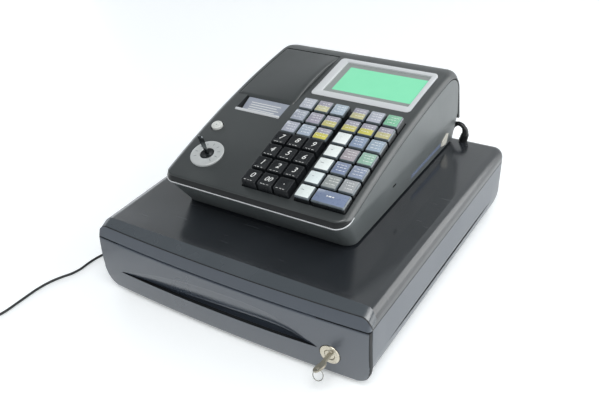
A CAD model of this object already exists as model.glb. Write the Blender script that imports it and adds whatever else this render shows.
import math

import bpy
import numpy as np
from mathutils import Matrix, Vector


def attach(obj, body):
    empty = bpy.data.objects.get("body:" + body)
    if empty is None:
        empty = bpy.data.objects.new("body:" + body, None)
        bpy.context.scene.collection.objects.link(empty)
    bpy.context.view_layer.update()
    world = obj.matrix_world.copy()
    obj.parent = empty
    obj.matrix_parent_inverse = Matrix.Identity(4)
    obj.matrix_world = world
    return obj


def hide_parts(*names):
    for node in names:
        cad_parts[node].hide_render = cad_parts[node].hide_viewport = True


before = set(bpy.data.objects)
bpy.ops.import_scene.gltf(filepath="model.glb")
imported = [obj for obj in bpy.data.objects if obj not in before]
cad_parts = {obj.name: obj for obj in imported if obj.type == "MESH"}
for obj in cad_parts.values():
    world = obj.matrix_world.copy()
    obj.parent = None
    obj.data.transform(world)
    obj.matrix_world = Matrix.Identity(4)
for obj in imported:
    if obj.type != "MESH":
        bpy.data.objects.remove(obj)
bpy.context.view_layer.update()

# Sizes

# The register is drawn in millimetres with x to the right, y to the back and z up from the table, and the
# middle of the drawer at x 0, y 0. The frame's origin lies this much further to the front.
MM = 0.001
SHIFT = 12.015374732293921
FIT = 0.3
NEAR = 0.05  # a face's middle this close to a surface counts as on it
RIGHT_ANGLE = math.pi / 2
FULL_TURN = math.pi * 2
ABOUT_X, ABOUT_Y, ABOUT_Z = 0, 1, 2

# Drawer housing
HALF_WIDTH = 164.4
REAR_FACE = 170.4
FRONT_BOW = 5.4
FRONT_CORNER = FRONT_BOW - REAR_FACE
DRAWER_TOP = 85.0
PARTING = 69.3
SEAM = 0.8  # open line between cover and base
WALL = 2.6
OVERRUN = 6.0  # how far a hollow is cut past the side on which it is open
REAR_CORNER = 12.0
COVER_EDGE = 11.0
BAND_FOOT, BAND_DEPTH, BAND_LEAST = 80.5, 11.1, 0.35
LIP_CORNER, LIP_LEAN, LIP_SINK = 3.5, 4.6, 0.93
CREASE_WIDTH, CREASE_DEPTH = 1.5, 0.8
BASE_CORNER = 0.8
UNDERSIDE = 3.5
BASE_FLOOR = 3.0
GROOVE_LINE, GROOVE_HALF, GROOVE_DEPTH = 28.8, 1.8, 3.4
GROOVE_FRONT, GROOVE_REAR = -128.0, 136.0
# The rounding under the base's sides, as shares of its height and of how far it draws in
TUCK_HEIGHTS = [0, 0.02, 0.06, 0.115, 0.2, 0.306, 0.45, 0.626, 0.8, 1]
TUCK_INSETS = [1, 0.86, 0.71, 0.566, 0.43, 0.308, 0.2, 0.113, 0.05, 0]
TUCK_SIDE, TUCK_REAR = (1.6, 17.5), (0.8, 11.0)
RAIL_X, RAIL_HALF, RAIL_END, RAIL_LOW, RAIL_HIGH = 118.0, 4.0, 12.0, 6.3, 9.9
FOOT_X, FOOT_Y = 137.4, 143.4

# Drawer
PANEL_THICKNESS = 5.2
PANEL_BACK = 3.9  # depth of its flat back behind the edge of its face
PANEL_HEIGHT = 62.6
PANEL_FOOT = 5.0
PANEL_TOP = PANEL_FOOT + PANEL_HEIGHT
PANEL_BULGE = 2.0
PANEL_CORNER = (17.0, 24.0)
PANEL_EDGE = 2.0
TRAY_HALF = 148.5
TRAY_LENGTH = 284.0
TRAY_HEIGHT = 50.0
TRAY_WALL = 2.4
TRAY_CORNER = 7.0
TRAY_FLOOR = 10.2
LOCK_X, LOCK_Z, LOCK_RADIUS, LOCK_LENGTH, LOCK_PROUD = 124.2, 30.0, 10.6, 19.0, 1.2
PLUG_RADIUS = 5.2
KEY_LEAN = 0.6
BLADE_HALF = 3.4
KEY_BOW_RADIUS, KEY_BOW_PLACE = 7.0, 17.0
KEY_HOLE_PLACE, KEY_HOLE_RADIUS = (0, 20), 2.0

# The finger recess: a lower lip, a slot that opens over it, and a dish up to an arch above the slot
COVE_LEFT, COVE_RIGHT, COVE_MIDDLE = -136.6, 111.0, 4.0
COVE_LINE, COVE_SLOPE, COVE_DROP = 32.45, 0.011, 1.2
ARCH_LIFT, ARCH_RISE = 0.45, 24.4
SLOT_LEFT, SLOT_RIGHT = -106.0, 98.0
SLOT_HEIGHT, SLOT_TAPER, SLOT_LEAST, SLOT_LIFT = 5.2, 0.045, 2.4, 0.5
DISH_DEPTH, DISH_LIP = 5.0, 0.6
# Rows round the slot's inside: depth and height of the face, and depth and height of the back behind it. The
# floor's heights are counted from the lower lip, and the roof's from the slot's upper edge.
SLOT_FLOOR = [(0.4, -0.3, 5.6, -8.0), (1.4, -1.3, 6.2, -7.9), (2.0, -4.2, 7.0, -7.8),
              (10.5, -5.4, 12.5, -7.6), (12.5, -3.4, 14.5, -5.5)]
SLOT_ROOF = [(12.5, 3, 14.5, 5), (10.5, 5, 12.5, 7), (7.0, 4, 10.6, 7.2), (5.4, 0.8, 10.0, 7.4)]
# The hump of the back that houses the recess: its foot and head from the same two edges, and its depth
HUMP_FOOT, HUMP_HEAD, HUMP_START, HUMP_DEPTH = 8.2, 7.6, 1.5, 11.0

# Case
CASE_HALF = 110.1
CASE_FRONT, CASE_REAR = -108.5, 157.0
CASE_EDGE = 7.0
CASE_CORNER = 14.0
CASE_FOOT = 87.3
CASE_WALL = 2.5
TUB_REAR_CORNER = 1.5
TUB_SIDE, TUB_FRONT = 6.3, 23.2  # how far the lower case draws in at its foot
SKIRT = 6.7
SKIRT_LEAST = 0.3
GAP = 1.1  # open line between the case's halves
# The line where the case's halves part: its height at one y, its slope there and how it bends
LINE_PLACE, LINE_HEIGHT, LINE_SLOPE, LINE_BEND = 25.0, 158.2, 0.1965, 0.000511
CROWN_REAR = 133.0
REAR_ROUND = 30.0
REAR_TOP, REAR_FOOT = 166.5, 170.3
HOOD_FOOT = 115.0
HOOD_DEPTH = 12.0
HOOD_WALL = 1.6
ARCH_FRONT = 128.4
EDGE_START, CREASE_BACK = 3.6, 2.4
FRONT_BAND = 1.4
CASE_FOOT_X, CASE_FOOT_Y = 86.5, (-68, 140)
GLAND_PLACE = (-70, CASE_REAR, 99)
TRIM_PAST_CORNER, TRIM_BELOW_LINE, TRIM_SECTION = 4, 0.35, (0.45, 0.6, 0.15)
NOTCH_EDGES, NOTCH_LOW, NOTCH_HIGH = (100, 120, -7, 0), 112.6, 115.2
# On the right side: the label strip's rear, front, foot and head in y and z, and the clip's outline
STRIP_EDGES, STRIP_THICKNESS, SUNK = (41, 118, 96, 101.4), 0.2, -0.6
CLIP_OUTLINE = [(119, 96), (133, 91.5), (135, 94), (135, 106), (131, 107.5), (120, 101.5)]
CLIP_THICKNESS = 1.2

# Keyboard
KEY_TILT = 0.273
KEY_PLACE = (-4.6, 20.3, 173.3)
KEY_PITCH = 19.0
BLOCK_GAP = 4.33
KEY_WIDTH, KEY_TOP, KEY_DROP = 17.4, 16.0, 8.9
KEY_TRAVEL = 3.0
DIGIT_RISE = 1.9
DIGIT_SAG = 0.5
WELL_FLOOR = -KEY_DROP - KEY_TRAVEL - FIT
WELL_GAP, WELL_CORNER = 0.9, 1.6
ABOVE_KEYS = 12.0
STEM_HALF, STEM_CORNER, STEM_LENGTH = 4.0, 0.8, 6.0
SEAM_DROP = 2.4  # where a clear cap ends over its black body
LABEL_HALF, LABEL_LOW, LABEL_TOP, LABEL_SPLIT = KEY_TOP / 2 - 0.55, -0.4, 0.03, 0.4
PRINT_SLANT, PRINT_HEIGHT = 0.28, 0.12

# Colours of the labels under the function keys, by row and column
LABELS = {
    "a": ["#b7bcc6", "#c9c7a0", "#aebdca", "#c3bf94", "#b4b8c4", "#86c3a2"],
    "b": ["#a3a9b6", "#a39fae", "#c6c07e", "#c9c274", "#cdc765", "#c2bd8c"],
    "c": ["#a9adba", "#a3b0c0", "#d0c95e", "#eef4f2", "#8c9cb4", "#9fb0c0"],
    "d": [None, None, None, "#edf4f2", "#a7a0a6", "#98bdab"],
    "e": [None, None, None, "#ecf3f1", "#7f8ca8", "#8d99b0"],
    "f": [None, None, None, "#e3eeee", "#9aa09f", "#a3a7aa"],
    "g": [None, None, None, "#e4eeec", "#7886a2", None],
}
UPPER_HALF = "#a4a2ae"
SPLIT = {"key_a2", "key_a4", "key_b3", "key_b4", "key_b5", "key_b6", "key_c3"}  # upper half of another colour
PLAIN = {"key_c4", "key_d4", "key_e4", "key_f4", "key_g4"}  # one grey mark at most
EMPTY = "key_c4"  # no mark at all
WIDE = "key_total"
DIGITS = [("7", "8", "9"), ("4", "5", "6"), ("1", "2", "3"), ("0", "00", "point")]
FIRST_DIGIT_ROW = 3

# Display, printer, mode switch
DISPLAY_TILT = 0.1606
DISPLAY_PLACE = (38.7, 87.2, 174.8)
DISPLAY_HALF = (60.25, 38.2)
POCKET_CORNER, POCKET_FLOOR, ABOVE_DISPLAY = 5, -2.7, 14
DISPLAY_OPENING = (-50.0, 54.3, -28.2, 32.0)
SCREEN_EDGES = (-42.0, 53.8, -21.6, 24.6)
BAY_LEFT, BAY_RIGHT, BAY_REAR, COVER_FRONT = -101.5, -28.0, 130.0, 25.7
BAY_FLOOR, ABOVE_CASE = 120.0, 200.0
WINDOW_LEFT, WINDOW_RIGHT, WINDOW_FRONT = -89.0, -31.0, 1.6
COVER_HUMP, COVER_THICKNESS = 5.4, 2.6
COVER_SIDE_DROP, COVER_LIP_DROP = 1.6, 1.3
HINGE_RADIUS = 1.9
GUIDE_ENDS, GUIDE_DEPTHS = np.array([3.2, 25.8]), (8.2, 2.9)
GUIDE_SIDES, GUIDE_THICKNESS, GUIDE_LINES = (-87, -33), 1.0, 5
MODE_PLACE, MODE_BORE = (-75.8, -71.0), 7.9
FEED_PLACE, FEED_BORE = (-91.4, -31.2), 7.3
BORE_REACH = 9.0  # how far a bore's cutter reaches up and down from the case's top
TICKS, FIRST_TICK, TICK_STEP = 9, -130, 32


# Surfaces

def outward(points, faces):
    """The faces of a closed form, turned round where its signed volume, the sum of a . (b x c) / 6, is
    negative."""
    fans = [(face[0], face[k], face[k + 1]) for face in faces for k in range(1, len(face) - 1)]
    a, b, c = points[np.array(fans)].transpose(1, 0, 2)
    inside_out = np.einsum("ij,ij->i", a, np.cross(b, c)).sum() < 0
    return points, [face[::-1] for face in faces] if inside_out else faces


def lofted(rings, closed=False):
    """A form through rows of points, each row closed on itself. The last row closes on the first where closed
    is set, and otherwise the first row and the last get a flat face."""
    rings = np.asarray(rings, float)
    rows, columns = rings.shape[:2]
    row, column = np.meshgrid(np.arange(rows if closed else rows - 1), np.arange(columns), indexing="ij")
    after, beside = (row + 1) % rows, (column + 1) % columns
    start, stop = row * columns, after * columns
    corners = [start + column, start + beside, stop + beside, stop + column]
    faces = np.stack(corners, -1).reshape(-1, 4).tolist()
    if not closed:
        faces += [list(range(columns))[::-1], list(range((rows - 1) * columns, rows * columns))]
    return outward(rings.reshape(-1, 3), faces)


def moved(form, place=(0, 0, 0), angle=0.0, axis=ABOUT_X):
    """A form turned about an axis, its other two coordinates b and c becoming b cos - c sin and
    b sin + c cos, then moved."""
    points, faces = form
    b, c = (axis + 1) % 3, (axis + 2) % 3
    cos, sin = math.cos(angle), math.sin(angle)
    made = np.array(points)
    made[:, b] = points[:, b] * cos - points[:, c] * sin
    made[:, c] = points[:, b] * sin + points[:, c] * cos
    return made + np.asarray(place, float), faces


def level(outline, z):
    """A plan outline of (x, y) points at a height, which may be one for each point."""
    outline = np.asarray(outline, float)
    return np.column_stack([outline, np.broadcast_to(z, len(outline))])


def station(outline, x):
    """A side outline of (y, z) points at an x."""
    outline = np.asarray(outline, float)
    return np.column_stack([np.full(len(outline), x), outline])


def across(outline, y):
    """A front outline of (x, z) points at a y."""
    return np.insert(outline, 1, y, axis=1)


def quarter(count):
    """The sines of equal angles over a quarter turn, from 0 to 1."""
    return np.sin(np.linspace(0, RIGHT_ANGLE, count))


def arc(x, y, radius, first, steps):
    """A quarter circle, x + r cos t and y + r sin t, that starts after as many right angles as first says."""
    turn = np.linspace(0, RIGHT_ANGLE, steps + 1) + first * RIGHT_ANGLE
    return np.column_stack([x + radius * np.cos(turn), y + radius * np.sin(turn)])


def rounded(left, right, front, rear, radius, steps=7):
    """A rounded rectangle run anticlockwise: quarter circles joined by straight sides."""
    return np.concatenate([
        arc(left + radius, front + radius, radius, 2, steps),
        arc(right - radius, front + radius, radius, 3, steps),
        arc(right - radius, rear - radius, radius, 0, steps),
        arc(left + radius, rear - radius, radius, 1, steps),
    ])


def centred(half_x, half_y, radius, steps=7):
    return rounded(-half_x, half_x, -half_y, half_y, radius, steps)


def grown(edges, by):
    """The left, right, front and rear of a rectangle, moved outwards."""
    left, right, front, rear = edges
    return left - by, right + by, front - by, rear + by


def circle(radius, sides):
    turn = np.linspace(0, FULL_TURN, sides, endpoint=False)
    return np.column_stack([radius * np.cos(turn), radius * np.sin(turn)])


def bent(start, control, stop, count):
    """A curve (1 - t)^2 a + 2 t (1 - t) b + t^2 c towards a control point b, without its start."""
    t = np.linspace(0, 1, count)[1:, None]
    return (1 - t) ** 2 * np.array(start) + 2 * t * (1 - t) * np.array(control) + t ** 2 * np.array(stop)


def round_off(depth, radius):
    """How far a rounded edge falls back, r - sqrt(r^2 - d^2), at a depth d into it."""
    return radius - np.sqrt(radius ** 2 - np.clip(depth, 0, radius) ** 2)


def drawn_in(x, radius, half):
    """How far a rounded corner or edge falls back at x, on a form that reaches as far as half."""
    return round_off(np.abs(x) - half + radius, radius)


def slab(outline, low, high, edge=0.0, steps=4):
    """A plan outline drawn up, its top edge rounded by shrinking the outline about its middle as 1 - cos
    while the height rises as sin."""
    outline = np.asarray(outline, float)
    middle = (outline.min(0) + outline.max(0)) / 2
    half = (outline.max(0) - outline.min(0)) / 2
    rings = [level(outline, low)]
    for angle in np.linspace(0, RIGHT_ANGLE, steps + 1) if edge else [0.0]:
        share = (half - edge * (1 - math.cos(angle))) / half
        rings.append(level(middle + (outline - middle) * share, high - edge * (1 - math.sin(angle))))
    return lofted(rings)


def turned(profile, sides=48, closed=False):
    """A profile of (radius, height) turned about z: x = r cos t, y = r sin t."""
    profile = np.asarray(profile, float)
    turn = np.linspace(0, FULL_TURN, sides, endpoint=False)
    radius, height = profile[:, :1], profile[:, 1:]
    rings = np.stack([radius * np.cos(turn), radius * np.sin(turn), np.repeat(height, sides, 1)], -1)
    return lofted(rings, closed=closed)


def disc(radius, low, high, sides=48):
    return turned([(radius, low), (radius, high)], sides)


def swept(path, section, twist=0.0, closed=False):
    """A section of (aside, up) points carried along a path. At each point the side direction is the one
    before it made square to the path, starting level, and the section is turned by the twist there."""
    path, section = np.asarray(path, float), np.asarray(section, float)
    if closed:
        ahead = np.roll(path, -1, 0) - np.roll(path, 1, 0)
    else:
        ahead = np.gradient(path, axis=0)
    ahead /= np.linalg.norm(ahead, axis=1, keepdims=True)
    sides = np.empty((len(path), 3))
    side = np.cross(ahead[0], [0, 0, 1.0])
    if np.linalg.norm(side) < 0.2:
        side = np.cross(ahead[0], [1.0, 0, 0])
    for k in range(len(path)):
        side = side - ahead[k] * (side @ ahead[k])
        side = side / np.linalg.norm(side)
        sides[k] = side
    rise = np.cross(sides, ahead)
    angle = np.broadcast_to(twist, len(path))[:, None]
    aside = section[..., 0] * np.cos(angle) - section[..., 1] * np.sin(angle)
    up = section[..., 0] * np.sin(angle) + section[..., 1] * np.cos(angle)
    rings = path[:, None] + aside[..., None] * sides[:, None] + up[..., None] * rise[:, None]
    return lofted(rings, closed=closed)


def sleeve(path, radii, sides):
    """A round sleeve along a path, with a radius for each of its points."""
    return swept(path, circle(1.0, sides) * radii[:, None, None])


def ribbed(run, places, radii, rate):
    """Radii along a moulded sleeve whose ribs go up and down by 5 percent: r (1 + 0.05 sign(sin(rate s)))."""
    return np.interp(run, places, radii) * (1 + 0.05 * np.sign(np.sin(rate * run)))


def run_along(path):
    """The length of a path as far as each of its points."""
    return np.r_[0, np.cumsum(np.linalg.norm(np.diff(path, axis=0), axis=1))]


def denser(path, step):
    """A path with points added about a step apart, without its last point."""
    return np.concatenate([np.linspace(a, b, max(2, int(np.linalg.norm(b - a) / step)), endpoint=False)
                           for a, b in zip(path, path[1:])])


def smooth_path(points, count):
    """A centripetal Catmull-Rom curve through the points, read at equal shares of its parameter."""
    points = np.asarray(points, float)
    points = np.concatenate([[2 * points[0] - points[1]], points, [2 * points[-1] - points[-2]]])
    spans = len(points) - 3
    at = np.linspace(0, spans, count + 1)
    k = np.minimum(at.astype(int), spans - 1)
    share = (at - k)[:, None]
    p0, p1, p2, p3 = (points[k + n] for n in range(4))
    pairs = ((p0, p1), (p1, p2), (p2, p3))
    d0, d1, d2 = (np.linalg.norm(b - a, axis=1, keepdims=True) ** 0.5 for a, b in pairs)
    start = ((p1 - p0) / d0 - (p2 - p0) / (d0 + d1) + (p2 - p1) / d1) * d1
    end = ((p2 - p1) / d1 - (p3 - p1) / (d1 + d2) + (p3 - p2) / d2) * d1
    square, cube = share ** 2, share ** 3
    return ((2 * cube - 3 * square + 1) * p1 + (cube - 2 * square + share) * start
            + (3 * square - 2 * cube) * p2 + (cube - square) * end)


# Pieces

def mesh_of(name, parts):
    """A mesh of several forms, given as (form, surface), in metres of the frame."""
    points, faces, indices, surfaces, base = [], [], [], [], 0
    for (form_points, form_faces), surface in parts:
        if surface not in surfaces:
            surfaces.append(surface)
        points.append(form_points)
        faces += [[base + k for k in face] for face in form_faces]
        indices += [surfaces.index(surface)] * len(form_faces)
        base += len(form_points)
    mesh = bpy.data.meshes.new(name)
    mesh.from_pydata((np.concatenate(points) + [0, SHIFT, 0]) * MM, [], faces)
    mesh.polygons.foreach_set("material_index", indices)
    for surface in surfaces:
        mesh.materials.append(surface)
    return mesh


def shown(name, data):
    """An object in the scene."""
    made = bpy.data.objects.new(name, data)
    bpy.context.scene.collection.objects.link(made)
    return made


def smoothed(mesh):
    mesh.polygons.foreach_set("use_smooth", [True] * len(mesh.polygons))


def piece(name, body, mesh, replaces=(), sharp=32, bevel=0.0):
    """An object on a body, smooth except at edges sharper than an angle in degrees. The width of a bevel is
    in millimetres."""
    if isinstance(mesh, list):
        mesh = mesh_of(name, mesh)
    made = shown(name, mesh)
    smoothed(mesh)
    mesh.set_sharp_from_angle(angle=math.radians(sharp))
    if bevel:
        edge = made.modifiers.new("edges", "BEVEL")
        edge.width, edge.segments, edge.limit_method = bevel * MM, 3, "ANGLE"
        edge.angle_limit = math.radians(sharp)
        edge.harden_normals = True
    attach(made, body)
    if replaces:
        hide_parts(*replaces)
    return made


def cut(name, parts, cutters):
    """The forms less each cutter, by exact Booleans; a cut face takes the cutter's surface."""
    work = shown(name, mesh_of(name, parts))
    tools = []
    for cutter in cutters:
        tools.append(shown("tool", mesh_of("tool", [cutter])))
        less = work.modifiers.new("less", "BOOLEAN")
        less.operation, less.solver, less.object = "DIFFERENCE", "EXACT", tools[-1]
        less.material_mode = "TRANSFER"
    made = bpy.data.meshes.new_from_object(work.evaluated_get(bpy.context.evaluated_depsgraph_get()))
    for spent in [work, *tools]:
        bpy.data.objects.remove(spent)
    made.name = name
    return made


def painted(mesh, surface, chosen):
    """Gives a surface to the faces that chosen picks by the x, y and z of their middles, in millimetres."""
    spots, kinds = np.empty(len(mesh.polygons) * 3), np.empty(len(mesh.polygons), np.int32)
    mesh.polygons.foreach_get("center", spots)
    mesh.polygons.foreach_get("material_index", kinds)
    if surface.name not in mesh.materials:
        mesh.materials.append(surface)
    x, y, z = spots.reshape(-1, 3).T / MM
    kinds[chosen(x, y - SHIFT, z)] = mesh.materials.find(surface.name)
    mesh.polygons.foreach_set("material_index", kinds)


# Materials

def colour(value):
    """An sRGB hex value as linear red, green, blue and alpha."""
    shares = [int(value[k:k + 2], 16) / 255 for k in (1, 3, 5)]
    return [s / 12.92 if s <= 0.04045 else ((s + 0.055) / 1.055) ** 2.4 for s in shares] + [1.0]


def add(tree, kind, inputs=(), **settings):
    """One node with its settings; an input is a value or the socket that feeds it."""
    made = tree.nodes.new(kind)
    for key, value in settings.items():
        setattr(made, key, value)
    for socket, value in dict(inputs).items():
        if isinstance(value, bpy.types.NodeSocket):
            tree.links.new(value, made.inputs[socket])
        else:
            made.inputs[socket].default_value = value
    return made


# Scratches run long one way and are fine across it. Their scale is per metre.
SCRATCH_TURN, SCRATCH_SCALE, SCRATCH_TONE = (0, 0, 0.9), (22, 700, 40), "#8f969c"


def finish(name, base, roughness, shade=None, grain=0.5, bump=0.02, patch=60.0, spread=0.06, scratches=0.0,
           **shader):
    """A surface with a fine grain as bump, and slow patches that change its colour towards shade and its
    roughness by spread. grain and patch are millimetres, bump is millimetres of height, and scratches is the
    share of light hairlines on it. The real grains are mostly under 0.1 mm, too fine to show, so grain is
    coarser than they are."""
    made = bpy.data.materials.new(name)
    made.use_nodes = True
    tree = made.node_tree
    bsdf = tree.nodes["Principled BSDF"]
    place = add(tree, "ShaderNodeTexCoord").outputs["Object"]
    slow = add(tree, "ShaderNodeTexNoise", {
        "Vector": place, "Scale": 1 / (patch * MM), "Detail": 3.0}).outputs["Fac"]
    paint = add(tree, "ShaderNodeMix", {
        0: slow, 6: colour(base), 7: colour(shade or base)}, data_type="RGBA").outputs[2]
    dull = add(tree, "ShaderNodeMapRange", {
        "Value": slow, "From Min": 0.3, "From Max": 0.7,
        "To Min": roughness - spread, "To Max": roughness + spread}).outputs["Result"]
    if scratches:
        stretched = add(tree, "ShaderNodeMapping", {
            "Vector": place, "Rotation": SCRATCH_TURN, "Scale": SCRATCH_SCALE}).outputs[0]
        lines = add(tree, "ShaderNodeTexNoise", {
            "Vector": stretched, "Scale": 1.0, "Detail": 1.0}).outputs["Fac"]
        hair = add(tree, "ShaderNodeMapRange", {
            "Value": lines, "From Min": 0.73, "From Max": 0.79,
            "To Min": 0.0, "To Max": scratches}).outputs["Result"]
        paint = add(tree, "ShaderNodeMix", {
            0: hair, 6: paint, 7: colour(SCRATCH_TONE)}, data_type="RGBA").outputs[2]
        dull = add(tree, "ShaderNodeMath", {0: dull, 1: hair}, operation="ADD").outputs[0]
    tree.links.new(paint, bsdf.inputs["Base Color"])
    tree.links.new(dull, bsdf.inputs["Roughness"])
    if bump:
        fine = add(tree, "ShaderNodeTexNoise", {
            "Vector": place, "Scale": 1 / (grain * MM), "Detail": 2.0}).outputs["Fac"]
        relief = add(tree, "ShaderNodeBump", {"Height": fine, "Distance": bump * MM, "Strength": 1.0})
        tree.links.new(relief.outputs[0], bsdf.inputs["Normal"])
    for socket, value in shader.items():
        bsdf.inputs[socket.replace("_", " ")].default_value = value
    return made


# ABS, injection moulded with a fine spark texture: it scatters highlights softly.
HOUSING = finish("moulded_abs_charcoal", "#39414c", 0.3, "#414a56", grain=0.6, bump=0.01, patch=90,
                 spread=0.03, IOR=2.0)
SHELL = finish("moulded_abs_black", "#24292a", 0.38, "#2c3232", grain=0.5, bump=0.012, patch=45, IOR=1.95)
SIDES = finish("moulded_abs_grey", "#585e5f", 0.42, "#606667", grain=0.5, bump=0.014, patch=45, IOR=2.0)
# The cover's top is rubbed to a gloss by what was put down on it.
WORN_TOP = finish("rubbed_abs_charcoal", "#1d2024", 0.17, "#25292e", grain=0.6, bump=0.006, scratches=0.16,
                  IOR=1.9)
# Bands of the same plastic from smoother tool faces, with clearer highlights.
BAND = finish("polished_abs_band", "#3c4349", 0.26, "#444b51", grain=0.6, bump=0.008, IOR=2.0)
DARK_BAND = finish("smooth_black_band", "#101213", 0.32, "#16181a", grain=0.5, bump=0.004, patch=45)
# Inner faces, left as moulded: dull and dark. The till insert is polystyrene, a little smoother.
INSIDE = finish("moulded_abs_inside", "#17191b", 0.6, "#1d2022", grain=0.8, bump=0.02)
INSERT = finish("till_insert_polystyrene", "#202326", 0.5, "#2a2d30", grain=0.7, bump=0.02)
# Silver lacquer on ABS: pale, with an even metallic lustre and no grain to feel.
LACQUER = finish("silver_lacquer", "#d9dcdf", 0.34, "#e3e5e7", grain=0.3, bump=0.002, Metallic=0.2)
BORDER = finish("grey_window_border", "#8d9391", 0.4, "#969c9a", grain=0.3, bump=0.001)
# Nickel plate on brass: warm and smooth, with clear highlights. The key's nickel silver is handled dull.
NICKEL = finish("nickel_plate", "#d8d2c2", 0.26, "#c8c0ae", grain=0.25, bump=0.004, patch=5, Metallic=1.0)
NICKEL_SILVER = finish("nickel_silver", "#b9b4a4", 0.36, "#a5a090", grain=0.3, bump=0.004, patch=4,
                       Metallic=0.4)
NICKELLED_PIN = finish("nickelled_pin", "#c9c6bd", 0.25, "#b8b5ab", grain=0.4, bump=0.004, patch=6,
                       Metallic=1.0)
# Steel wire, worn bright, and a blackened steel blade that mirrors its surroundings darkly.
STEEL = finish("worn_steel", "#a9a9a4", 0.28, "#8f8f8b", grain=0.4, bump=0.006, patch=4, Metallic=1.0)
DARK_STEEL = finish("blackened_steel", "#7f8486", 0.24, "#4c5052", grain=0.4, bump=0.004, patch=4,
                    Metallic=1.0)
# Aluminium, satin on the switch's ring and anodised on the paper's guide: pale with a soft sheen.
RING_METAL = finish("satin_aluminium", "#ced1d0", 0.38, "#babebe", grain=0.5, bump=0.01, patch=6,
                    Metallic=0.2)
PLATE = finish("anodised_guide_plate", "#b9bfcb", 0.4, "#a9b0bf", grain=0.6, bump=0.006, patch=12,
               Metallic=0.35)
# White and cream ABS, and paper without a gloss.
BUTTON = finish("satin_white_abs", "#dfe1de", 0.35, "#d2d4d0", grain=0.4, bump=0.004, patch=5)
CREAM = finish("cream_clip", "#e4e2d8", 0.45, "#d8d6cb", grain=0.5, bump=0.006, patch=8)
PAPER = finish("thermal_paper", "#eeede6", 0.85, "#e6e5dd", grain=0.4, bump=0.01, patch=20)
TAPE = finish("label_strip", "#77839a", 0.5, "#67728a", grain=0.5, bump=0.006, patch=8)
# PVC sheaths: the mains lead's is satin, the drawer lead's is glossy and slightly wavy. Rubber feet are dull.
SHEATH = finish("pvc_sheath", "#1b1d1e", 0.42, "#242627", grain=0.8, bump=0.01, patch=10)
GLOSSY_SHEATH = finish("polished_sheath", "#141617", 0.16, "#1b1d1e", grain=2.5, bump=0.05, patch=8)
RUBBER = finish("rubber_foot", "#151617", 0.8, "#1c1d1e", grain=0.6, bump=0.03)
# Key caps: polystyrene, clear over a printed paper, so the colour lies under a hard gloss.
CLEAR = finish("clear_cap_edge", "#525c62", 0.07, "#7d878d", grain=0.4, bump=0.0, patch=4, Coat_Weight=0.6)
CAP_BODY = finish("cap_body_black", "#15181a", 0.3, "#1b1e20", grain=0.4, bump=0.004, patch=8)
DIGIT_CAP = finish("digit_cap_abs", "#15171a", 0.3, "#1c1f22", grain=0.4, bump=0.008, patch=8)
INK = finish("white_print", "#f1f2f0", 0.45, "#e6e8e6", grain=0.3, bump=0.0, patch=6)
INK_GREY = finish("grey_print", "#7d8488", 0.5, "#888f93", grain=0.3, bump=0.0, patch=6)


def label_paper(tone):
    """The paper under a clear cap, made once for each colour."""
    name = f"label_paper_{tone[1:]}"
    known = bpy.data.materials.get(name)
    return known or finish(name, tone, 0.3, tone, grain=0.5, bump=0.002, patch=3, Coat_Weight=0.5)


# The window over the screen: clear acrylic, and under it the screen's own even green light.
SCREEN = finish("lit_green_screen", "#7fd9ae", 0.16, "#76d2a6", grain=0.5, bump=0.0, patch=25,
                Coat_Weight=0.5, Emission_Color=colour("#74d9a6"), Emission_Strength=0.25)


# Camera

# Focal length and width in pixels of the photograph; turn and place as solved from it
FOCAL_PIXELS, PHOTO_WIDTH, SENSOR_WIDTH = 760.2054502659880, 600, 36.0
CAMERA_TURN = Vector((2.097555595707809, 0.5619170663279343, -0.40574374784410866))
CAMERA_PLACE = Vector((402.6, -591.8 + SHIFT, 526.1)) * MM

camera_data = bpy.data.cameras.new("camera")
camera_data.sensor_width = SENSOR_WIDTH
camera_data.lens = FOCAL_PIXELS / PHOTO_WIDTH * SENSOR_WIDTH
camera_data.clip_start = 0.01
camera = shown("camera", camera_data)
right, down, forward = Matrix.Rotation(CAMERA_TURN.length, 3, CAMERA_TURN.normalized())
facing = Matrix((right, -down, -forward)).transposed().to_4x4()
camera.matrix_world = Matrix.Translation(CAMERA_PLACE) @ facing
bpy.context.scene.camera = camera


# Cords

CORD = 3.4
CORD_ROUTE = [
    (-70, 164.3, 99), (-70.1, 172, 98), (-70.6, 177.8, 94.3), (-71.6, 181.5, 88.5), (-73, 183, 81.5),
    (-76, 184.4, 67), (-82.5, 186.3, 48), (-91.5, 188.6, 29), (-99.5, 189.8, 15.5), (-112, 190.6, 6),
    (-128, 190.8, 2.6), (-150, 188.5, 2.2), (-172, 180.5, 2.2), (-190, 162, 2.2), (-200, 132, 2.2),
    (-206, 80, 2.2), (-212, -40, 2.2), (-212, -100, 2.2), (-211.4, -126, 2.4), (-214, -140, 2.6),
    (-215.4, -151.7, 2.4), (-215.6, -162, 2.4), (-218.6, -173, 2.4), (-224.3, -183.2, 2.4),
    (-229.5, -195, 2.4), (-233, -211, 2.4), (-234.6, -238, 2.2), (-235.8, -256, 2.1), (-237.9, -264, 2.1),
    (-240.5, -272, 2.1), (-243.2, -280, 2.1), (-245.2, -288, 2.0), (-246, -299.7, 2.0),
]
COIL_PLACE = np.array([-284.0, -303.4, 0.0])
COIL_RADIUS, COIL_PITCH, COIL_LAYER, COIL_LOW, COIL_STEPS, COIL_LEAD = 38.0, 4.6, 4.4, 2.0, 72, 14.0
# The flat twin lead: half its thickness, and how deep the hollows along its middle are
TWIN_HALF, TWIN_HOLLOW = 1.25, 0.3
TIE_EDGES, TIE_CORNER, TIE_HALF, TIE_THICKNESS = (26.5, 41.5, 0.2, 8.4), 2.5, 2, 0.9
RELIEF = 27.0
PLUG_LIFT, PLUG_START, PLUG_LENGTH, PLUG_ROUND = 9.3, 12, 34, 0.55
PIN_X, PIN_HALF = 6.35, 3.15


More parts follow.
